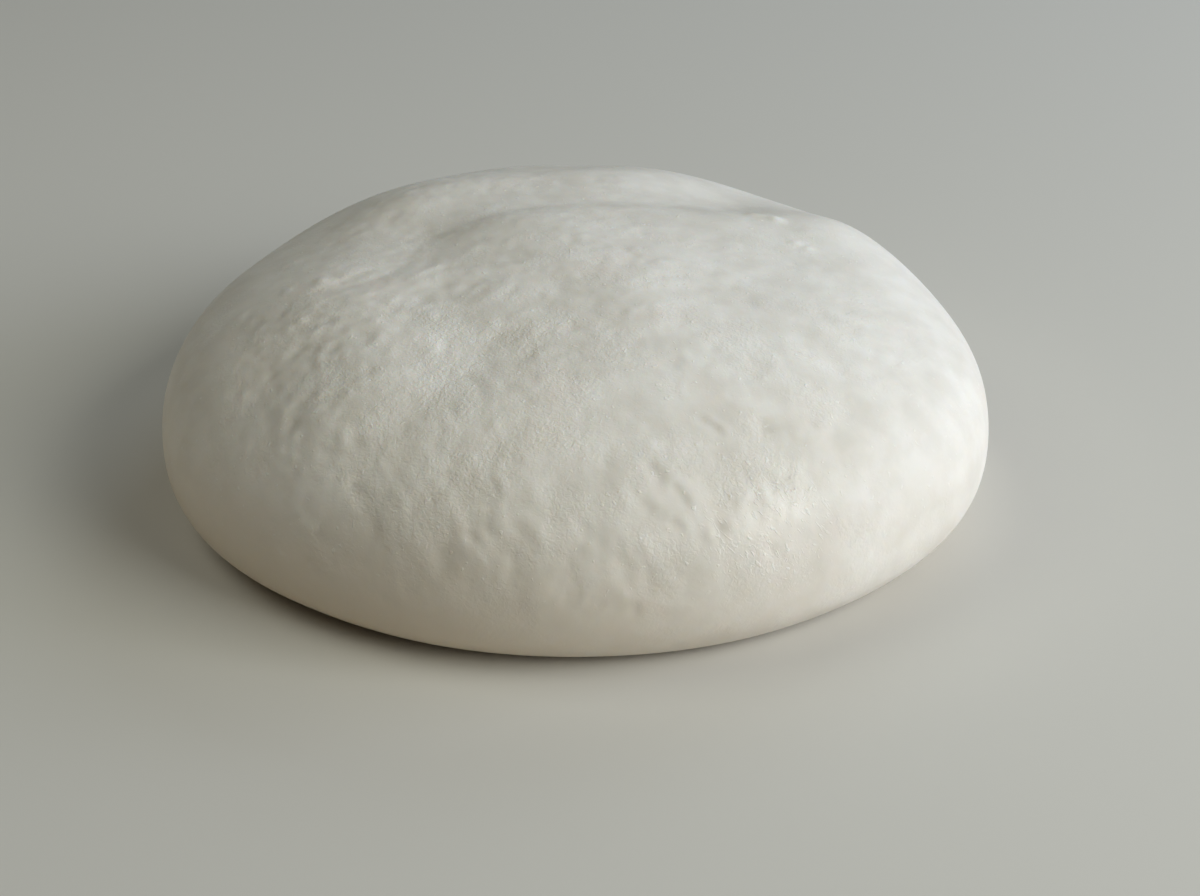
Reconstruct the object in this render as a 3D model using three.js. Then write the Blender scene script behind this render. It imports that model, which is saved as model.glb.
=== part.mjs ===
import * as THREE from 'three';
import { mergeVertices } from 'three/addons/utils/BufferGeometryUtils.js';

// A proofed dough ball: one round of white bread dough, risen and slumped into a low
// dome. Millimetres, +X to the right, +Y to the back, +Z up. The origin is the middle
// of the flat underside.

// Overall size
const WIDTH = 203;
const DEPTH = 199;
const HEIGHT = 61;

// The side. The widest line, the belly, runs low down. Under it the side rolls in to
// the foot, the flat round that the dough stands on.
const BELLY_RADIUS = 100;
const BELLY_HEIGHT = 17;
const FOOT_SHARE = 0.85;      // radius of the foot, as a share of the belly's
const DOME_HEIGHT = 60;
const DOME_POWER = 2.5;       // 2 gives an ellipse, and more gives fuller shoulders
const LEAN_X = -0.022;        // the skin is this share lower at the right end
const LEAN_Y = -0.023;        // and at the back

// The outline seen from above: a circle round POLE, pushed in and out by long waves.
const POLE = new THREE.Vector2(0, -1.9);
const OUTLINE_WAVES = [
  { lobes: 2, swing: 0.005, turn: 3.5 },
  { lobes: 3, swing: 0.0224, turn: -29.7 },
  { lobes: 4, swing: 0.0026, turn: 4.2 },
  { lobes: 5, swing: 0.0042, turn: -16.6 },
  { lobes: 9, swing: 0.0016, turn: 12 },
];

// Broad swells and low places, where gas has gathered or the dough has sunk.
const SWELLS = [
  { x: 70, y: 26, spread: 16, rise: 3.3 },     // shoulder at the right of the back
  { x: 67, y: 30, spread: 8, rise: 2.2 },      // and its sharper knuckle
  { x: 50, y: 54, spread: 14, rise: -1.3 },    // low place behind that shoulder
  { x: 42, y: 44, spread: 8, rise: -1.4 },
  { x: 18, y: 66, spread: 14, rise: 1.4 },     // the back, behind the tuck
  { x: -46, y: 50, spread: 14, rise: 2.4 },
  { x: -74, y: 26, spread: 12, rise: -1.6 },
  { x: -56, y: 18, spread: 11, rise: -0.8 },   // low place at the tuck's left end
  { x: -39, y: 3, spread: 9, rise: -0.9 },     // and the trough from there forwards
  { x: -33, y: -26, spread: 9, rise: -0.7 },
  { x: -27, y: -54, spread: 9, rise: -0.9 },
  { x: 31, y: 8, spread: 9, rise: -0.6 },      // trough down the right of the crown
  { x: 36, y: -16, spread: 10, rise: -0.8 },
  { x: 34, y: -42, spread: 9, rise: -0.4 },
  { x: -20, y: 15, spread: 12, rise: 2 },      // low humps beside the two troughs
  { x: 0, y: 1, spread: 9, rise: 1.2 },
  { x: -5, y: -14, spread: 10, rise: 0.7 },
  { x: -14, y: -32, spread: 8, rise: 0.9 },
  { x: -56, y: -28, spread: 10, rise: 0.9 },
  { x: -53, y: -63, spread: 13, rise: 2.2 },
  { x: 65, y: -52, spread: 9, rise: 0.4 },
  { x: 16, y: -40, spread: 10, rise: 0.6 },
  { x: 62, y: 0, spread: 18, rise: -1.4 },     // the right of the crown has sunk a little
  { x: 38, y: -72, spread: 13, rise: -1.3 },
];

// Folds left in the skin by shaping. Each follows a line with one bend, with walls that
// may be steeper on one side. The first is the long tuck across the back of the crown,
// where the last fold was pulled over: it drops in front and rises slowly behind.
const CREASES = [
  { from: [-45, 1], bend: [-25, 33], to: [55, 39], depth: 1.3, front: 5.5, back: 14 },
  { from: [-60, -20], bend: [-50, -11], to: [-39, -8], depth: 0.7, front: 3.6, back: 2.6 },
  { from: [55, -36], bend: [62, -50], to: [64, -66], depth: 0.6, front: 3.6, back: 3 },
];
const CREASE_STEPS = 60;
const CREASE_FADE = 0.16;     // share of its length over which each end dies out

// The roll of dough behind the tuck.
const TUCK_ROLL = { behind: 24, spread: 9, rise: 0.8 };

// Slow unevenness of the skin: long ripples that cross each other.
const RIPPLES = [
  { length: 71, heading: 24, swing: 0.35, start: 40 },
  { length: 53, heading: 98, swing: 0.3, start: 200 },
  { length: 37, heading: 151, swing: 0.2, start: 310 },
];

// The net of facets is a box grid blown up into the dome: its top becomes the crown,
// and its walls the shoulder, the belly and the roll under it. Its lines are drawn in
// towards the tuck, so that the narrow fold gets small facets.
const ROUND_CELLS = 44;
const SIDE_CELLS = 18;
const CROWN_SHARE = ROUND_CELLS / (ROUND_CELLS + 2 * SIDE_CELLS);
const DRAW_REACH = 12;
const DRAW_PULL = 0.45;
const DRAW_EDGE = [0.7, 0.9]; // no drawing in beyond these shares of the outline
const MERGE_DISTANCE = 1e-4;

const { degToRad, lerp, smoothstep } = THREE.MathUtils;

function outlineRadius(angle) {
  let share = 1;
  for (const { lobes, swing, turn } of OUTLINE_WAVES) {
    share += swing * Math.cos(lobes * (angle - degToRad(turn)));
  }
  return BELLY_RADIUS * share;
}

// The plain dome's height, where out is the distance from the pole as a share of the
// outline's radius.
function domeHeight(out) {
  const fall = Math.pow(1 - Math.pow(out, DOME_POWER), 1 / DOME_POWER);
  return BELLY_HEIGHT + (DOME_HEIGHT - BELLY_HEIGHT) * fall;
}

// Half of the middle section, from the top of the crown to the edge of the foot. Both
// coordinates are shares of the belly's radius, so equal steps are equal lengths.
class SideProfile extends THREE.Curve {
  getPoint(t, target = new THREE.Vector2()) {
    const turn = t * Math.PI;
    if (turn < Math.PI / 2) {
      const powers = Math.sin(turn) ** DOME_POWER + Math.cos(turn) ** DOME_POWER;
      const out = Math.sin(turn) / Math.pow(powers, 1 / DOME_POWER);
      return target.set(out, domeHeight(out) / BELLY_RADIUS);
    }
    const roll = turn - Math.PI / 2;
    const out = FOOT_SHARE + (1 - FOOT_SHARE) * Math.cos(roll);
    return target.set(out, (BELLY_HEIGHT / BELLY_RADIUS) * (1 - Math.sin(roll)));
  }
}

// A fold's line on the plan.
class Crease {
  constructor({ from, bend, to, depth, front, back }) {
    const corners = [from, bend, to].map(([x, y]) => new THREE.Vector2(x, y));
    this.points = new THREE.QuadraticBezierCurve(...corners).getSpacedPoints(CREASE_STEPS);
    Object.assign(this, { depth, front, back });
  }

  // Where a point lies: how far behind the line, how far past its nearest point, and
  // how strong the fold is there.
  measure(point) {
    const gaps = this.points.map((place) => place.distanceTo(point));
    const nearest = gaps.indexOf(Math.min(...gaps));
    const before = this.points[Math.max(nearest - 1, 0)];
    const after = this.points[Math.min(nearest + 1, CREASE_STEPS)];
    const heading = after.clone().sub(before).normalize();
    const backward = new THREE.Vector2(-heading.y, heading.x);
    const offset = point.clone().sub(this.points[nearest]);
    const end = Math.min(nearest, CREASE_STEPS - nearest) / CREASE_STEPS;
    return {
      backward,
      behind: backward.dot(offset),
      past: heading.dot(offset),
      strength: smoothstep(end, 0, CREASE_FADE),
    };
  }

  fall(point) {
    const { behind, strength } = this.measure(point);
    const width = behind > 0 ? this.back : this.front;
    return this.depth * strength * Math.exp(-((behind / width) ** 2));
  }
}

const creases = CREASES.map((crease) => new Crease(crease));
const tuck = creases[0];

// All that the skin does above or below the plain dome at a point of the plan.
function relief(point) {
  let height = 0;
  for (const { x, y, spread, rise } of SWELLS) {
    const gap = Math.hypot(point.x - x, point.y - y) / spread;
    height += rise * Math.exp(-(gap ** 2) / 2);
  }
  for (const { length, heading, swing, start } of RIPPLES) {
    const turn = degToRad(heading);
    const along = point.x * Math.cos(turn) + point.y * Math.sin(turn);
    height += swing * Math.sin((2 * Math.PI * along) / length + degToRad(start));
  }
  for (const crease of creases) {
    height -= crease.fall(point);
  }
  const { behind, strength } = tuck.measure(point);
  const gap = (behind - TUCK_ROLL.behind) / TUCK_ROLL.spread;
  return height + TUCK_ROLL.rise * strength * Math.exp(-(gap ** 2));
}

// Moves a point of the plan nearer to the tuck, where edge is its share of the outline.
function drawIn(point, edge) {
  const { backward, behind, past, strength } = tuck.measure(point);
  const gap = Math.hypot(behind, past) / DRAW_REACH;
  const hold = 1 - smoothstep(edge, ...DRAW_EDGE);
  const pull = DRAW_PULL * strength * hold * Math.exp(-(gap ** 2));
  return point.clone().addScaledVector(backward, -pull * behind);
}

// The dough's surface for one point of the box grid, which runs from -1 to 1.
function skinPoint(box, profile) {
  const x = Math.tan((box.x * Math.PI) / 4);
  const y = Math.tan((box.y * Math.PI) / 4);
  const angle = Math.atan2(y, x);
  const crown = (CROWN_SHARE * Math.atan(Math.hypot(x, y))) / (Math.PI / 4);
  const side = profile.getPointAt(lerp(crown, 1, (1 - box.z) / 2));

  const spoke = new THREE.Vector2(Math.cos(angle), Math.sin(angle));
  let plan = spoke.multiplyScalar(side.x * outlineRadius(angle));
  let height = side.y * BELLY_RADIUS;
  if (side.x < DRAW_EDGE[1] && height > BELLY_HEIGHT) {
    plan = drawIn(plan.add(POLE), side.x).sub(POLE);
    height = domeHeight(plan.length() / outlineRadius(plan.angle()));
  }
  plan.add(POLE);

  height *= 1 + (LEAN_X * plan.x + LEAN_Y * plan.y) / BELLY_RADIUS;
  height += relief(plan) * (height / DOME_HEIGHT);
  return new THREE.Vector3(plan.x, plan.y, height);
}

// The open net: the box grid without its underside, with the corners shared.
function openNet() {
  const box = new THREE.BoxGeometry(2, 2, 2, ROUND_CELLS, ROUND_CELLS, SIDE_CELLS);
  const underside = box.groups.at(-1);
  box.deleteAttribute('normal');
  box.deleteAttribute('uv');
  box.setIndex([...box.index.array].slice(0, underside.start));
  return mergeVertices(box, MERGE_DISTANCE);
}

// The flat foot: a fan from the middle to the net's lower rim.
function footFan(rim, middle) {
  return rim.flatMap((corner, step) => [rim[(step + 1) % rim.length], corner, middle]);
}

function doughGeometry() {
  const net = openNet();
  const profile = new SideProfile();
  const points = [];
  const rim = [];
  const box = new THREE.Vector3();
  for (let index = 0; index < net.attributes.position.count; index += 1) {
    box.fromBufferAttribute(net.attributes.position, index);
    points.push(skinPoint(box, profile));
    if (box.z === -1) rim.push(index);
  }
  rim.sort((a, b) => Math.atan2(points[a].y, points[a].x) - Math.atan2(points[b].y, points[b].x));
  const faces = [...net.index.array, ...footFan(rim, points.length)];
  points.push(new THREE.Vector3());

  const geometry = new THREE.BufferGeometry().setFromPoints(points);
  geometry.setIndex(faces);
  geometry.computeBoundingBox();
  const size = geometry.boundingBox.getSize(new THREE.Vector3());
  const middle = geometry.boundingBox.getCenter(new THREE.Vector3());
  geometry.translate(-middle.x, -middle.y, -geometry.boundingBox.min.z);
  geometry.scale(WIDTH / size.x, DEPTH / size.y, HEIGHT / size.z);
  geometry.computeVertexNormals();
  return geometry;
}

function doughMaterial() {
  return new THREE.MeshStandardMaterial({ color: 0xe2ddcd, roughness: 0.55, metalness: 0 });
}

const dough = new THREE.Mesh(doughGeometry(), doughMaterial());
dough.name = 'dough_ball';

const part = new THREE.Group();
part.add(dough);

export default part;
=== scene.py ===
# %% [markdown]
# # A proofed dough ball
#
# The object is one piece of soft white dough. It was pulled into a ball, left to rise,
# and has slumped into a low dome. Its form comes from the solid in the frame. What is
# made here is the skin: a fine smooth mesh, the small wrinkles that stretching left in
# it, and a surface that lets a little light in, as wet flour does.

# %% Load the solid and keep its box
import math

import bmesh
import bpy
import numpy as np
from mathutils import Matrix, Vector
from mathutils.kdtree import KDTree


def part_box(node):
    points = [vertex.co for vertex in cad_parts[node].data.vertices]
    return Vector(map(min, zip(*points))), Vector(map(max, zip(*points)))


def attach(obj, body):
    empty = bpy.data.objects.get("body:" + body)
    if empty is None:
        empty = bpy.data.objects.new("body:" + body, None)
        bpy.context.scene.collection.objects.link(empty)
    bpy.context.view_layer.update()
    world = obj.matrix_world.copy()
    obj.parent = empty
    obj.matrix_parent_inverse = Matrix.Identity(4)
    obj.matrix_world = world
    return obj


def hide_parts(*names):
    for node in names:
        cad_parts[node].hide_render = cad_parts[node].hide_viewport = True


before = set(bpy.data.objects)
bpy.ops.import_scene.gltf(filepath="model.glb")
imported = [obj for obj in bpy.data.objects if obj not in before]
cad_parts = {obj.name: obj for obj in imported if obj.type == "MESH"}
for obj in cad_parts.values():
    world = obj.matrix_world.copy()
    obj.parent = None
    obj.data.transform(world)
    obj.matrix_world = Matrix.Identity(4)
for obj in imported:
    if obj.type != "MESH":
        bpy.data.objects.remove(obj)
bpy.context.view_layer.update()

MM = 0.001
NODE = "dough_ball"
low_corner, high_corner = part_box(NODE)
print("solid, mm:", [round(side / MM, 1) for side in high_corner - low_corner])

# %% [markdown]
# ## The camera
#
# The photograph looks down on the dough at 30 degrees, from about 60 cm away, through
# a lens of 72 mm on a frame 36 mm wide. The camera could be aimed by a Track To
# constraint, but its tilt is known, so a plain rotation says the same thing: a camera
# looks down its own -Z, and 90 degrees about X points it at the horizon.

# %% Camera
VIEW_TILT = math.radians(30)
LENS = 72.1                  # mm, as is the sensor's width
SENSOR_WIDTH = 36
CAMERA_PLACE = (5.9 * MM, -528.8 * MM, 307.9 * MM)

camera_data = bpy.data.cameras.new("camera")
camera_data.lens = LENS
camera_data.sensor_width = SENSOR_WIDTH
camera = bpy.data.objects.new("camera", camera_data)
camera.location = CAMERA_PLACE
camera.rotation_euler = (math.pi / 2 - VIEW_TILT, 0, 0)
bpy.context.scene.collection.objects.link(camera)
bpy.context.scene.camera = camera
print("camera is", round(Vector(CAMERA_PLACE).length, 3), "m from the foot")

# %% [markdown]
# ## Nodes written as sums
#
# A material is a graph of nodes, and its maths is easier to read as Python. This class
# wraps one socket. Adding or multiplying two of them makes the Math node that does the
# same in the shader, and `add` makes any other node.


# %% One socket that can be added and multiplied
MIX_FACTOR = 0               # numbers of the Mix node's sockets, when it mixes colours
MIX_FIRST = 6
MIX_SECOND = 7
MIX_RESULT = 2


class Shade:
    """One output socket in a node tree."""

    def __init__(self, tree, socket=None):
        self.tree = tree
        self.socket = socket

    def add(self, kind, settings, sockets, output=0):
        """Adds a node: first its settings, then the values or links of its sockets."""
        node = self.tree.nodes.new(kind)
        for name, setting in settings.items():
            setattr(node, name, setting)
        for name, value in sockets.items():
            if isinstance(value, Shade):
                self.tree.links.new(value.socket, node.inputs[name])
            else:
                node.inputs[name].default_value = value
        return Shade(self.tree, node.outputs[output])

    def math(self, operation, *values):
        """These values, put through a Math node."""
        return self.add("ShaderNodeMath", {"operation": operation}, dict(enumerate(values)))

    def between(self, low, high):
        """0 at low and 1 at high, with a soft step from the one to the other."""
        ends = {"Value": self, "From Min": low, "From Max": high}
        return self.add("ShaderNodeMapRange", {"interpolation_type": "SMOOTHSTEP"}, ends)

    def noise(self, size, detail, curl=0):
        """Cloudy noise between 0 and 1, whose largest lumps are about this size in metres."""
        sockets = {"Vector": self, "Scale": 1 / size, "Detail": detail, "Distortion": curl}
        return self.add("ShaderNodeTexNoise", {}, sockets)

    def vector(self, operation, other, output="Vector"):
        """This position and another one, put through a Vector Math node."""
        sockets = {0: self, 1: other}
        return self.add("ShaderNodeVectorMath", {"operation": operation}, sockets, output)

    def tint(self, first, second):
        """The first colour where this value is 0, and the second where it is 1."""
        sockets = {MIX_FACTOR: self, MIX_FIRST: first, MIX_SECOND: second}
        return self.add("ShaderNodeMix", {"data_type": "RGBA"}, sockets, MIX_RESULT)

    def __add__(self, other):
        return self.math("ADD", self, other)

    def __sub__(self, other):
        return self.math("SUBTRACT", self, other)

    def __rsub__(self, other):
        return self.math("SUBTRACT", other, self)

    def __mul__(self, other):
        return self.math("MULTIPLY", self, other)

    __radd__ = __add__
    __rmul__ = __mul__


def new_material(name):
    """A node material, its Principled shader and a Shade to start from."""
    material = bpy.data.materials.new(name)
    material.use_nodes = True
    return material, material.node_tree.nodes["Principled BSDF"], Shade(material.node_tree)


def feed(shade, node, name):
    """Links a Shade to one of a node's sockets."""
    shade.tree.links.new(shade.socket, node.inputs[name])


# %% [markdown]
# ## Floor and light
#
# The dough is lit mostly from the right, so that its right shoulder is near white and
# its left side falls into grey. A sun lamp would draw hard edges, so four large area
# lights are used: a high window in front at the right, a low one beside it that whitens
# the right flank, a cool one behind that draws the tuck, and a weak one at the left. The
# pale floor throws a warm light back up under the belly, and a very weak sky fills the
# rest.

# %% Floor
FLOOR_WIDTH = 10             # m
FLOOR_COLOUR = (0.66, 0.63, 0.58, 1)
FLOOR_ROUGHNESS = 0.9

floor_shape = bmesh.new()
bmesh.ops.create_grid(floor_shape, x_segments=1, y_segments=1, size=FLOOR_WIDTH / 2)
floor_mesh = bpy.data.meshes.new("floor")
floor_shape.to_mesh(floor_mesh)
floor_shape.free()
floor = bpy.data.objects.new("floor", floor_mesh)
bpy.context.scene.collection.objects.link(floor)

floor_material, floor_shader, _ = new_material("pale floor")
floor_shader.inputs["Base Color"].default_value = FLOOR_COLOUR
floor_shader.inputs["Roughness"].default_value = FLOOR_ROUGHNESS
floor_mesh.materials.append(floor_material)
print("floor:", FLOOR_WIDTH, "m square")

# %% Soft light
DOUGH_MIDDLE = Vector((0, 0, 30 * MM))
LIGHT_DISTANCE = 1.3         # m
# Each row: a name, the azimuth and the elevation in degrees, the width and the height
# in m, the power in W and the colour. Azimuth 0 is at the right, and 90 at the back.
LIGHTS = (
    ("window", -28, 32, 0.9, 0.8, 11.5, (0.96, 1, 0.93)),
    ("low window", 0, 16, 0.8, 0.5, 7.1, (0.69, 0.77, 1)),
    ("back", 60, 32, 0.8, 0.6, 2.95, (0.74, 0.88, 1)),
    ("left", 180, 55, 0.7, 0.7, 3.2, (0.98, 1, 0.88)),
)


def soft_light(name, azimuth, elevation, width, height, power, colour):
    """An area light that faces the dough."""
    azimuth = math.radians(azimuth)
    elevation = math.radians(elevation)
    aside = Vector((math.cos(azimuth), math.sin(azimuth), 0)) * math.cos(elevation)
    direction = aside + Vector((0, 0, math.sin(elevation)))
    data = bpy.data.lights.new(name, "AREA")
    data.shape = "RECTANGLE"
    data.size = width
    data.size_y = height
    data.energy = power
    data.color = colour
    light = bpy.data.objects.new(name, data)
    light.location = DOUGH_MIDDLE + LIGHT_DISTANCE * direction
    light.rotation_euler = (-direction).to_track_quat("-Z", "Y").to_euler()
    bpy.context.scene.collection.objects.link(light)
    print(name, "stands at", [round(along, 2) for along in light.location])


for row in LIGHTS:
    soft_light(*row)

# %% Sky
SKY_COLOUR = (1, 0.97, 0.92, 1)
SKY_STRENGTH = 0.02

world = bpy.data.worlds.new("sky")
world.use_nodes = True
sky_shader = world.node_tree.nodes["Background"]
sky_shader.inputs["Color"].default_value = SKY_COLOUR
sky_shader.inputs["Strength"].default_value = SKY_STRENGTH
bpy.context.scene.world = world
bpy.context.scene.view_settings.view_transform = "Standard"
print("sky strength:", SKY_STRENGTH)

# %% [markdown]
# ## The body of the dough
#
# The solid is exact but faceted, with facets a few millimetres wide. It could be
# remeshed, but that blurs the folds. Its triangles came in pairs, so joining each pair
# gives back a net of four-sided faces, and a Subdivision Surface turns that net into a
# smooth skin that still follows the solid. The flat underside is closed again with two
# rings of faces and a fan, because one face with hundreds of corners subdivides badly.

# %% A net of four-sided faces from the solid
WELD = 0.001 * MM            # corners closer than this are one
FLAT = 0.01 * MM             # faces wholly below this are the underside
FOOT_RINGS = 2
FOOT_RING_WIDTH = 9 * MM
FACE_CORNERS = 4

net = bmesh.new()
net.from_mesh(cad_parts[NODE].data)
bmesh.ops.remove_doubles(net, verts=net.verts, dist=WELD)
foot_faces = [face for face in net.faces if all(corner.co.z < FLAT for corner in face.verts)]
bmesh.ops.delete(net, geom=foot_faces, context="FACES")
bmesh.ops.join_triangles(
    net,
    faces=net.faces,
    angle_face_threshold=math.pi,
    angle_shape_threshold=math.pi,
)
sole_rim = [edge for edge in net.edges if edge.is_boundary]
sole = bmesh.ops.contextual_create(net, geom=sole_rim)["faces"]
for _ in range(FOOT_RINGS):
    bmesh.ops.inset_region(net, faces=sole, thickness=FOOT_RING_WIDTH, use_even_offset=True)
bmesh.ops.poke(net, faces=sole)
bmesh.ops.recalc_face_normals(net, faces=net.faces)
odd_faces = sum(len(face.verts) != FACE_CORNERS for face in net.faces)
print("net:", len(net.faces), "faces,", odd_faces, "of them not four-sided")

# %% The smooth skin
SMOOTH_LEVELS = 2

net_mesh = bpy.data.meshes.new("dough_net")
net.to_mesh(net_mesh)
net.free()
net_object = bpy.data.objects.new("dough_net", net_mesh)
bpy.context.scene.collection.objects.link(net_object)
smoother = net_object.modifiers.new("smooth", "SUBSURF")
smoother.levels = SMOOTH_LEVELS
smoother.render_levels = SMOOTH_LEVELS
bpy.context.view_layer.update()
smoothed = net_object.evaluated_get(bpy.context.evaluated_depsgraph_get())
skin_mesh = bpy.data.meshes.new_from_object(smoothed)
skin_mesh.name = "dough_skin"
bpy.data.objects.remove(net_object)
skin = bpy.data.objects.new("dough_skin", skin_mesh)
bpy.context.scene.collection.objects.link(skin)
print("skin:", len(skin_mesh.vertices), "points,", 2 * len(skin_mesh.polygons), "triangles")

# %% Its points and normals as arrays, in millimetres
count = len(skin_mesh.vertices)
points = np.empty(3 * count)
normals = np.empty(3 * count)
skin_mesh.vertices.foreach_get("co", points)
skin_mesh.vertices.foreach_get("normal", normals)
points = points.reshape(-1, 3) / MM
normals = normals.reshape(-1, 3)
tree = KDTree(count)
for index, point in enumerate(points):
    tree.insert(point, index)
tree.balance()
lift = np.zeros(count)       # the relief at each point
print("smooth skin, mm:", points.min(axis=0).round(1), "to", points.max(axis=0).round(1))

# %% [markdown]
# ## Wrinkles
#
# The skin dried a little and then stretched as the dough rose, so it is covered with
# short shallow ridges. They follow the way the skin was pulled, and they fade out near
# the rim, where the skin is stretched smooth. Where the skin is slack they are strong,
# and where it is taut they are faint. A noise texture can't turn with the pull. So each
# ridge is laid down by itself, as a long narrow swelling with a slight bend: its place
# is drawn at random, and its direction comes from the pull there.

# %% How the skin was pulled
# Each row: a place on the plan in mm, and the heading of the wrinkles there in degrees.
PULLS = (
    (-63, -38, 72),
    (-66, -56, 76),
    (-51, -70, 84),
    (-42, -84, 112),
    (-22, -96, 100),
    (-14, -94, 130),
    (18, -87, 140),
    (31, -91, 145),
    (43, -69, 125),
    (53, -54, 108),
    (63, -68, 75),
    (54, -81, 62),
    (77, -49, 55),
    (-28, -40, 65),
    (-8, -45, 64),
    (-52, -11, 52),
    (-40, 5, 58),
    (17, 2, 40),
    (42, -22, 86),
    (28, -64, 104),
    (74, -14, 88),
    (6, 42, 25),
    (-38, 40, 50),
    (40, 62, 155),
)
PULL_BLEND = 60              # square mm, so that rows within about 8 mm are blended


def heading_at(spots):
    """The wrinkles' heading, in radians, at each spot of the plan.

    A heading and its opposite are the same wrinkle, so doubled angles are averaged.
    """
    turn = np.zeros((len(spots), 2))
    for x, y, degrees in PULLS:
        nearness = 1 / (np.hypot(spots[:, 0] - x, spots[:, 1] - y) ** 2 + PULL_BLEND)
        double = 2 * math.radians(degrees)
        turn += nearness[:, None] * np.array((math.cos(double), math.sin(double)))
    return np.arctan2(turn[:, 1], turn[:, 0]) / 2


print("the pull is known at", len(PULLS), "places")

# %% Where the skin is rough
ROUGH_MIDDLE = (0, -22)      # the rough patch is a round that reaches down the front
ROUGH_EDGE = (89, 76)        # mm from that middle: smooth outside, rough inside
BELLY_TOP = (14, 25)         # mm up: smooth below, rough above


def soft_step(values, low, high):
    """0 at low and 1 at high, with a soft step from the one to the other."""
    share = np.clip((values - low) / (high - low), 0, 1)
    return share * share * (3 - 2 * share)


def roughness_at(spots):
    """0 on the smooth rim, 1 on the wrinkled crown."""
    out = np.hypot(spots[:, 0] - ROUGH_MIDDLE[0], spots[:, 1] - ROUGH_MIDDLE[1])
    return soft_step(spots[:, 2], *BELLY_TOP) * soft_step(out, *ROUGH_EDGE)


# Every face of a subdivided skin has four corners, which share its area.
corners = np.empty(len(skin_mesh.loops), int)
skin_mesh.loops.foreach_get("vertex_index", corners)
areas = np.empty(len(skin_mesh.polygons))
skin_mesh.polygons.foreach_get("area", areas)
point_areas = np.bincount(corners, np.repeat(areas, FACE_CORNERS)) / FACE_CORNERS
rough = roughness_at(points)
print("rough skin:", round(100 * (rough * point_areas).sum() / point_areas.sum()), "%")

# %% Where the skin is slack or taut
CHANCE_SEED = 7
SLACK_SPOTS = 110
SLACK_SIZE = 13              # mm


def swelling_at(place, radius):
    """Over the skin's points: 1 at the place, and next to nothing beyond two radii."""
    gap = np.linalg.norm(points - np.array(place), axis=1)
    return np.exp(-((gap / radius) ** 2))


chance = np.random.default_rng(CHANCE_SEED)
slack = np.zeros(count)
for spot in points[chance.choice(count, SLACK_SPOTS, p=point_areas / point_areas.sum())]:
    slack += chance.normal() * swelling_at(spot, SLACK_SIZE)
print("slack skin:", round(100 * (slack > 0).mean()), "% of the points")

# %% Where the wrinkles are strong
# Strongest left of the middle and low in front, weakest at the right, the back and the
# far left. Each pair is two distances from the middle in mm, below 0 on the other side
# of it: the wrinkles begin to grow or shrink at the first, and have done so by the share
# beside it at the second.
LEFT, LEFT_GAIN = (15, 45), 0.5
FAR_LEFT, FAR_LEFT_LOSS = (60, 76), 0.7
RIGHT, RIGHT_LOSS = (5, 40), 0.42
BACK, BACK_LOSS = (-20, 12), 0.4
LOW_FRONT, LOW_FRONT_GAIN = (70, 88), 0.4
LOW_FRONT_START = (-40, -10)  # to the right: no gain at the left end of the front
SLACK_SHARE = 0.5            # how far they grow where the skin is slack

rightward, backward, _ = points.T
low_front = soft_step(rightward, *LOW_FRONT_START)
strength = 1 + LEFT_GAIN * soft_step(-rightward, *LEFT)
strength -= FAR_LEFT_LOSS * soft_step(-rightward, *FAR_LEFT)
strength *= 1 - RIGHT_LOSS * soft_step(rightward, *RIGHT)
strength *= 1 - BACK_LOSS * soft_step(backward, *BACK)
strength *= 1 + LOW_FRONT_GAIN * soft_step(-backward, *LOW_FRONT) * low_front
strength *= 1 + SLACK_SHARE * np.tanh(slack)
print("wrinkles' strength:", strength.min().round(2), "to", strength.max().round(2))

# %% Where they are lumpy, or finely puckered
# On the left flank and on top the skin was pulled in no single way, and is lumpy. Low on
# the front right it is finely puckered.
LUMPY_LEFT = (36, 58)        # mm to the left
LUMPY_TOP = (-52, -8)        # mm to the back
LUMPY_TOP_SHARE = 0.75
FRONT = (66, 80)             # mm to the front
PUCKER_SPOT = (43, -86, 33)  # mm
PUCKER_WIDTH = 13            # mm

lumpy_top = LUMPY_TOP_SHARE * soft_step(backward, *LUMPY_TOP)
lumpy = np.maximum(soft_step(-rightward, *LUMPY_LEFT), lumpy_top)
front = rough * soft_step(-backward, *FRONT)
puckers = swelling_at(PUCKER_SPOT, PUCKER_WIDTH)
print("lumpy skin:", round(100 * (lumpy * point_areas).sum() / point_areas.sum()), "%")

# %% Lay the ridges
# Each row: how many ridges, their typical length, width and height in mm, and where.
RIDGES = (
    (200, 8, 5.5, 0.1, rough),
    (60, 8, 2.2, 0.06, front),
    (420, 5.5, 2.1, 0.055, rough),
    (1000, 3, 1.5, 0.055, rough),
    (2800, 2.4, 1, 0.052, rough),
    (4500, 1.2, 0.75, 0.036, rough),
    (800, 1.7, 1.4, 0.08, rough * lumpy),
    (150, 2.2, 0.85, 0.045, puckers),
)
LENGTHS = (0.6, 1.5)         # least and greatest length, as shares of the typical one
WIDTHS = (0.75, 1.4)         # and the same for the width
SCATTER = (0.25, 0.9)        # radians that a ridge may be off the pull: in order, lumpy
LUMPY_SHORTER = 0.5          # share of a ridge's length that it lacks on lumpy skin
BEND = 0.4                   # lengths that a ridge's end may bend aside
REACH = 2.2                  # lengths from its middle at which a ridge is cut off
# A heading on the plan is tilted until it lies in the skin. On upright skin that would
# have no end, so each normal counts as pointing up by at least this much.
STEEPEST = 0.15


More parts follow.
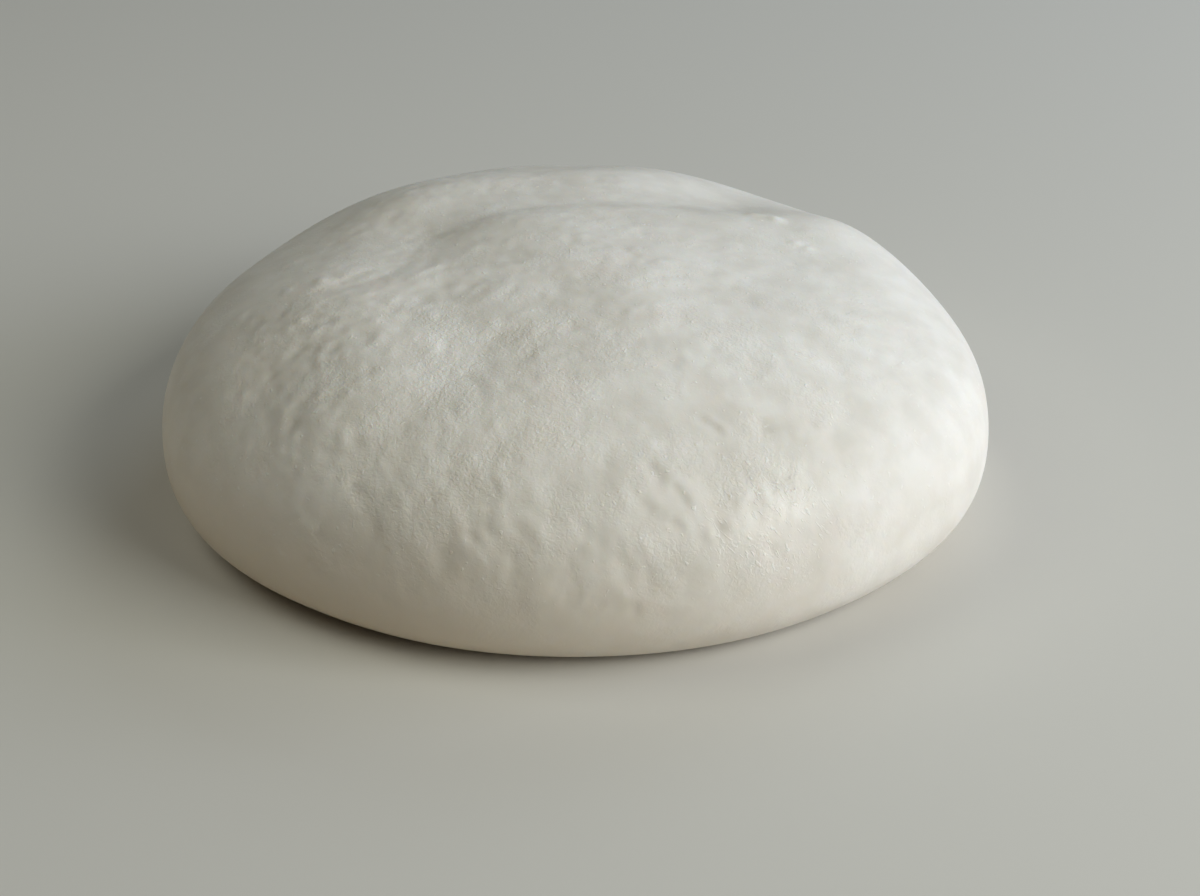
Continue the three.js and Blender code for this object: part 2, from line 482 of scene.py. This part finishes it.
def lay_ridges(number, length, width, height, where):
    """Adds ridges and dents at random places."""
    weights = where * point_areas
    picks = chance.choice(count, number, p=weights / weights.sum())
    scatter = SCATTER[0] + (SCATTER[1] - SCATTER[0]) * lumpy[picks]
    headings = heading_at(points[picks]) + chance.normal(0, 1, number) * scatter
    for pick, heading in zip(picks, headings):
        long = length * chance.uniform(*LENGTHS)
        long = max(width, long * (1 - LUMPY_SHORTER * lumpy[pick]))
        wide = width * chance.uniform(*WIDTHS)
        high = height * chance.normal() * strength[pick]
        bend = chance.normal(0, BEND) / long
        normal = normals[pick]
        along = np.array((math.cos(heading), math.sin(heading), 0))
        along[2] = -along.dot(normal) / max(normal[2], STEEPEST)
        along /= np.linalg.norm(along)
        across = np.cross(normal, along)
        near = np.array([found[1] for found in tree.find_range(points[pick], REACH * long)])
        gap = points[near] - points[pick]
        run = gap @ along
        side = gap @ across + bend * run * run
        lift[near] += high * np.exp(-((run / long) ** 2) - (side / wide) ** 2)


for row in RIDGES:
    lay_ridges(*row)
print(sum(row[0] for row in RIDGES), "ridges, mm:", lift.min().round(2), "to", lift.max().round(2))

# %% [markdown]
# ## Marks that stand out
#
# Among the many wrinkles a few are plain to see: pulled creases down the front, a thin
# fold at the left, a raised lip at the right end of the tuck and gas blisters beside it.
# Each is placed one by one, as a line or a spot on the skin. A line is laid like a ridge,
# but by the distance to its path, so that it may bend and still has an even width. Its
# ends die out.

# %% Creases and long ridges
# Each row: the places that the line runs through in mm, its width and its height in mm.
LINES = (
    (((15, -81.5, 46), (17, -82, 45.5), (19.5, -85.5, 42.5)), 1.4, -0.3),
    (((21, -84.5, 43.5), (23.5, -87, 41), (25.5, -88.5, 38.5)), 1.3, -0.3),
    (((19, -80, 47), (25, -85, 42.5), (30, -88, 38)), 4, 0.25),
    (((13.5, -88, 41.5), (17.5, -91, 38.5)), 2, -0.18),
    (((21, -90.5, 38), (24, -92, 35)), 1.2, -0.22),
    (((14.5, -86.5, 43), (20.5, -90, 39), (27, -92, 34)), 1.8, 0.2),
    (((26.5, -68, 50.5), (33, -71.5, 48)), 1.1, -0.22),
    (((29, -68, 50), (35, -71.5, 47.5)), 1.1, 0.22),
    (((42, -65, 48.5), (43, -70, 46.5)), 2.2, -0.3),
    (((-28, -84, 43), (-25, -91, 37), (-22, -96, 30)), 2.2, 0.18),
    (((-1.5, -90, 41), (4, -95, 35)), 1.6, -0.16),
    (((-13, -92, 38), (-8, -96, 33)), 1.8, -0.18),
    (((-8, -93, 38), (-3, -98, 28)), 2, 0.16),
    (((-18, -92, 37), (-15, -96, 31)), 1.4, -0.14),
    (((6, -81, 47), (9, -83, 46)), 1.1, -0.18),
    (((-41, -63, 52), (-37, -62, 52.5), (-34, -60, 53)), 0.9, 0.14),
    (((-50.5, -68, 47.5), (-50, -74, 44)), 1.6, 0.2),
    (((-58, -17, 56), (-50, -12.5, 56.5), (-43, -8, 57)), 1, 0.12),
    (((-58, -13.5, 56), (-50, -9, 56.5), (-43, -5, 57)), 1.1, -0.1),
    (((-53.5, -58, 51.5), (-53, -64, 49.5)), 1.8, -0.22),
    (((42.5, 31, 53.5), (46, 29.5, 54), (52, 27, 54)), 1.4, 0.6),
)
END_FADE = (-0.05, 0.25)     # shares of its length over which an end dies out, not quite to 0


def lay_line(path, width, height):
    """Adds one ridge along a path of places, or a crease where its height is below 0."""
    path = np.array(path, float)
    steps = np.diff(path, axis=0)
    lengths = np.linalg.norm(steps, axis=1)
    nearest = np.full(count, np.inf)
    passed = np.zeros(count)
    for number, (start, step, length) in enumerate(zip(path, steps, lengths)):
        share = np.clip((points - start) @ step / length**2, 0, 1)
        gap = np.linalg.norm(points - start - share[:, None] * step, axis=1)
        closer = gap < nearest
        nearest[closer] = gap[closer]
        passed[closer] = (lengths[:number].sum() + share * length)[closer] / lengths.sum()
    ends = soft_step(np.minimum(passed, 1 - passed), *END_FADE)
    lift[:] += height * ends * np.exp(-((nearest / width) ** 2))


for row in LINES:
    lay_line(*row)
print("lines:", len(LINES))

# %% Lumps, hollows and blisters
# Each row: the place in mm, the radius and the height in mm.
SPOTS = (
    ((50.5, 26.5, 54), 1.8, 0.45),
    ((54.5, 13.5, 54), 1.4, 0.35),
    ((57.5, 11, 53.5), 1.2, 0.3),
    ((-65, -60, 46), 1.9, 0.35),
    ((-47.5, -54.5, 53.5), 1.6, 0.2),
    ((-53, -45, 54.5), 1.7, 0.22),
    ((-60.5, -12.5, 55.5), 1.8, 0.25),
    ((-70, 8, 51), 2.4, 0.22),
    ((-67, -31.5, 53), 1.6, 0.22),
    ((-75.5, -48.5, 44.5), 1.5, 0.2),
    ((-79.5, -16, 48.5), 1.7, 0.16),
    ((-73.5, -62.5, 38), 1, 0.2),
    ((-62, -70.5, 41), 1, 0.2),
    ((-59.5, -74, 39.5), 1, 0.22),
    ((-25, -1, 59), 1.8, 0.2),
    ((-9.5, -42, 58), 2.6, 0.2),
    ((14.5, -73, 50), 1.5, 0.16),
    ((17, -77, 48), 1.3, 0.14),
    ((37.5, -84, 39), 0.9, 0.16),
    ((34.5, -89, 35), 0.9, 0.16),
    ((30, -91.5, 33.5), 0.9, 0.2),
    ((47, -88, 27), 1, 0.2),
    ((31.5, -90, 35), 1.2, -0.22),
    ((43.5, -89, 28.5), 1.2, -0.18),
    ((-12, -52, 56), 2.4, -0.18),
    ((-24.5, -56.5, 54.5), 2.1, -0.2),
    ((4, -30.5, 60), 3.2, -0.22),
    ((-24.5, -20, 59.5), 3, -0.26),
    ((-31, -43, 57), 3.5, -0.16),
    ((41, -23, 56.5), 3, -0.2),
    ((-33.5, -69, 50.5), 1.8, -0.16),
    ((41.5, -68, 49), 1.8, -0.14),
    ((-16.5, -81, 47.5), 0.9, -0.2),
)
for place, radius, height in SPOTS:
    lift += height * swelling_at(place, radius)
print("spots:", len(SPOTS))

# %% Move the skin
FOOT_EDGE = (1, 6)           # mm up: the skin stays as it is below, and is free above
SUNK = 1 / 3                 # of the highest relief: how far all skin sinks, to keep its size

free = soft_step(points[:, 2], *FOOT_EDGE)
lift *= free
skin_relief = skin_mesh.attributes.new("relief", "FLOAT", "POINT")
skin_relief.data.foreach_set("value", lift)
shift = (lift - SUNK * lift.max()) * free
points += normals * shift[:, None]
points = np.clip(points, np.array(low_corner) / MM, np.array(high_corner) / MM)
skin_mesh.vertices.foreach_set("co", (points * MM).ravel())
skin_mesh.update()
skin_mesh.shade_smooth()
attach(skin, "root")
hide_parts(NODE)
print("relief, mm:", lift.min().round(2), "to", lift.max().round(2))
print("skin moved out, mm:", shift.min().round(2), "to", shift.max().round(2))

# %% [markdown]
# ## The colour of the skin
#
# White dough is cream, not paper white. It is palest on the ridges, partly where the skin
# has dried and partly as painted highlight, and a little greyer in the hollows as painted
# shade. It is warmer in a few wide patches, and more buttery low down: partly where the
# skin is moist and thick, partly as painted warm shade and bounce light, strongest on the
# shaded left. Small flecks are painted nearly white as glints. Low on the front right,
# where the skin is finely puckered, they run into hairlines painted as glints: noise
# drawn out along one heading. An image could hold all that, but sums of cloudy noise,
# the height above the ground and the relief laid above keep it sharp at any size.

# %% Cream, palest on the ridges with painted highlight, greyer in the hollows with painted shade
SHADED_HOLLOW_CREAM = (0.748, 0.697, 0.622, 1)
DRIED_AND_LIT_RIDGE_CREAM = (0.908, 0.863, 0.803, 1)
LIT_AND_SHADED_RELIEF = (-0.25, 0.25)  # mm of relief: greyest below as painted shade, palest above as dried skin and painted highlight
CLOUD_SIZE = 24 * MM
MOTTLE_SIZE = 8 * MM
NOISE_RANGE = (0.3, 0.7)     # nearly all of a noise's values lie in it
CLOUD_PALENESS = 0.38
MOTTLE_PALENESS = 0.42
RIDGE_DRY_AND_LIGHT_SHARE = 0.35
GREYER = 0.07                # taken off the sum of those three

dough, dough_shader, start = new_material("dough")
place = start.add("ShaderNodeTexCoord", {}, {}, output="Object")
aside = start.add("ShaderNodeSeparateXYZ", {}, {"Vector": place}, output="X")
above = start.add("ShaderNodeSeparateXYZ", {}, {"Vector": place}, output="Z")
relief = start.add("ShaderNodeAttribute", {"attribute_name": "relief"}, {}, output="Fac")
clouds = place.noise(CLOUD_SIZE, detail=2).between(*NOISE_RANGE)
mottle = place.noise(MOTTLE_SIZE, detail=3).between(*NOISE_RANGE)
# The relief tints the cream: paler on ridges, partly dried skin and partly painted highlight, and
# greyer in hollows as painted shade.
ridges = relief.between(*LIT_AND_SHADED_RELIEF)
paleness = CLOUD_PALENESS * clouds + MOTTLE_PALENESS * mottle + RIDGE_DRY_AND_LIGHT_SHARE * ridges - GREYER
skin_colour = paleness.tint(SHADED_HOLLOW_CREAM, DRIED_AND_LIT_RIDGE_CREAM)
print("cream nodes:", len(dough.node_tree.nodes))

# %% Warm patches, and butter with painted warm shade low down
BLUSH = (0.85, 0.775, 0.70, 1)
BLUSH_SIZE = 19 * MM
BLUSH_RANGE = (0.5, 0.75)    # of the noise: no blush below, all of it above
BLUSH_SHARE = 0.5
ELSEWHERE = (0.3, 0.1, 0)    # m aside, where the same noise has another pattern
# Butter: partly the moist, thick skin low down, partly painted warm shade and bounce light from
# the floor, more on the shaded left.
BUTTER_AND_WARM_SHADE = (0.805, 0.69, 0.545, 1)
BUTTER_AND_SHADE_HEIGHT = (46 * MM, 4 * MM)
SHADED_SIDE = (70 * MM, -70 * MM)  # least at the lit right, most at the shaded left: painted warm shade
LEAST_ON_LIT_SIDE = 0.15

elsewhere = place.vector("ADD", ELSEWHERE)
blushing = BLUSH_SHARE * elsewhere.noise(BLUSH_SIZE, detail=2).between(*BLUSH_RANGE)
skin_colour = blushing.tint(skin_colour, BLUSH)
# Painted warm shade low down, mixed with the moist skin's butter, strongest at the shaded left.
moist_and_shaded = above.between(*BUTTER_AND_SHADE_HEIGHT)
moist_and_shaded = moist_and_shaded * (LEAST_ON_LIT_SIDE + (1 - LEAST_ON_LIT_SIDE) * aside.between(*SHADED_SIDE))
skin_colour = moist_and_shaded.tint(skin_colour, BUTTER_AND_WARM_SHADE)
print("with blush and butter:", len(dough.node_tree.nodes))

# %% Flecks and hairlines, painted white as glints
PUCKER_PLACE = [side * MM for side in PUCKER_SPOT]
PUCKER_REACH = (22 * MM, 4 * MM)  # from that place: no puckers outside, full ones inside
PUCKER_RUN = (0.65, -0.28, -0.71)  # the puckers run down to the right
PUCKER_STRETCH = (0.65, 0.65, 0.65)  # share of the noise's change taken out along that run
PUCKER_SIZE = 0.8 * MM
PUCKER_CURL = 0.5
PUCKER_RANGE = (0.58, 0.7)   # of the noise: no hairline below, a whole one above
DRY_HEIGHT = (16 * MM, 30 * MM)  # moist and smooth below, dried above
GLINT_WHITE = (0.97, 0.94, 0.88, 1)
FLECK_SIZE = 1.4 * MM
FLECK_RANGE = (0.68, 0.78)
FLECK_GLINT_SHARE = 0.35
HAIRLINE_GLINT_SHARE = 0.5

puckered = place.vector("DISTANCE", PUCKER_PLACE, "Value").between(*PUCKER_REACH)
down_the_run = place.vector("PROJECT", PUCKER_RUN).vector("MULTIPLY", PUCKER_STRETCH)
stretched = place.vector("SUBTRACT", down_the_run)
streaks = stretched.noise(PUCKER_SIZE, detail=2, curl=PUCKER_CURL)
hairlines = puckered * streaks.between(*PUCKER_RANGE)
dry_height = above.between(*DRY_HEIGHT)
flecks = dry_height * elsewhere.noise(FLECK_SIZE, detail=1).between(*FLECK_RANGE)
# Flecks and hairlines are painted near white. These are painted glints on the small bumps that the
# grain gives them.
painted_glints = FLECK_GLINT_SHARE * flecks + HAIRLINE_GLINT_SHARE * hairlines
feed(painted_glints.tint(skin_colour, GLINT_WHITE), dough_shader, "Base Color")
print("with flecks and hairlines:", len(dough.node_tree.nodes))

# %% [markdown]
# ## Satin, grain and the light inside
#
# The dried skin has a satin sheen that is uneven, so its roughness wanders, and it is
# glossiest on the puckers. Its finest grain is too small for the mesh and goes into a
# Bump node: curly grain and thin crepe lines, strong in some patches and faint in
# others, with the flecks and hairlines standing up a little. The crepe lines are the
# middle level of a noise, which is where twice the noise less one is nearest 0. A
# little subsurface scattering lets light pass through the thin parts of the skin, as
# through wet flour.

# %% Satin
SATIN = 0.38                 # least roughness
UNEVEN_SATIN = 0.24          # how far noise adds to it
SATIN_SIZE = 7 * MM
PUCKER_GLOSS = 0.15

satin = SATIN + UNEVEN_SATIN * place.noise(SATIN_SIZE, detail=3) - PUCKER_GLOSS * puckered
feed(satin, dough_shader, "Roughness")
print("with satin:", len(dough.node_tree.nodes))

# %% Where the grain is strong
GRAIN_PLACE = (-24 * MM, -62 * MM, 51 * MM)  # strongest grain, left of the front's middle
GRAIN_REACH = (48 * MM, 15 * MM)  # from that place: none of it outside, all of it inside
GRAIN_FADE = (20 * MM, -20 * MM)  # along Y: finer skin at the back, full grain in front
PATCH_SIZE = 12 * MM
PATCH_RANGE = (0.42, 0.62)   # of the noise: no patch below, a whole one above
LEAST_GRAIN = 0.07
PATCH_GRAIN = 0.32
FRONT_GRAIN = 0.28
BACK_SHARE = 0.6             # share of the grain that is left at the back
LOW_SHARE = 0.5              # and low down

grainy = place.vector("DISTANCE", GRAIN_PLACE, "Value").between(*GRAIN_REACH)
behind = start.add("ShaderNodeSeparateXYZ", {}, {"Vector": place}, output="Y")
forward = behind.between(*GRAIN_FADE)
patchy = place.noise(PATCH_SIZE, detail=2).between(*PATCH_RANGE)
patches = LEAST_GRAIN + PATCH_GRAIN * patchy + FRONT_GRAIN * grainy
patches = patches * (BACK_SHARE + (1 - BACK_SHARE) * forward)
patches = patches * (LOW_SHARE + (1 - LOW_SHARE) * dry_height)
print("with patches:", len(dough.node_tree.nodes))

# %% Grain
GRAIN_SIZE = 1 * MM
GRAIN_HEIGHT = 0.3 * MM
GRAIN_CURL = 0.7
CREPE_SIZE = 2 * MM
CREPE_CURL = 1
CREPE_DEPTH = 0.45           # a share of the grain's height, as are the next two
HAIRLINE_HEIGHT = 0.27
FLECK_HEIGHT = 0.2

plain_grain = place.noise(GRAIN_SIZE, detail=1, curl=GRAIN_CURL)
waves = 2 * elsewhere.noise(CREPE_SIZE, detail=1, curl=CREPE_CURL) - 1
crepe = waves.math("ABSOLUTE", waves)
grain = patches * (plain_grain - CREPE_DEPTH * crepe)
grain_relief = grain + HAIRLINE_HEIGHT * hairlines + FLECK_HEIGHT * flecks
bump_sockets = {"Strength": 1, "Distance": GRAIN_HEIGHT, "Height": grain_relief}
feed(start.add("ShaderNodeBump", {}, bump_sockets), dough_shader, "Normal")
print("with grain:", len(dough.node_tree.nodes))

# %% The light inside
LIGHT_SHARE = 0.35           # share of the light that passes through the skin
LIGHT_DEPTH = 2 * MM
LIGHT_COLOURS = (1, 0.75, 0.5)  # shares of that depth for red, green and blue
DOUGH_IOR = 1.4

dough_shader.inputs["Subsurface Weight"].default_value = LIGHT_SHARE
dough_shader.inputs["Subsurface Radius"].default_value = LIGHT_COLOURS
dough_shader.inputs["Subsurface Scale"].default_value = LIGHT_DEPTH
dough_shader.inputs["IOR"].default_value = DOUGH_IOR
skin_mesh.materials.clear()
skin_mesh.materials.append(dough)
print("materials on the skin:", [material.name for material in skin_mesh.materials])
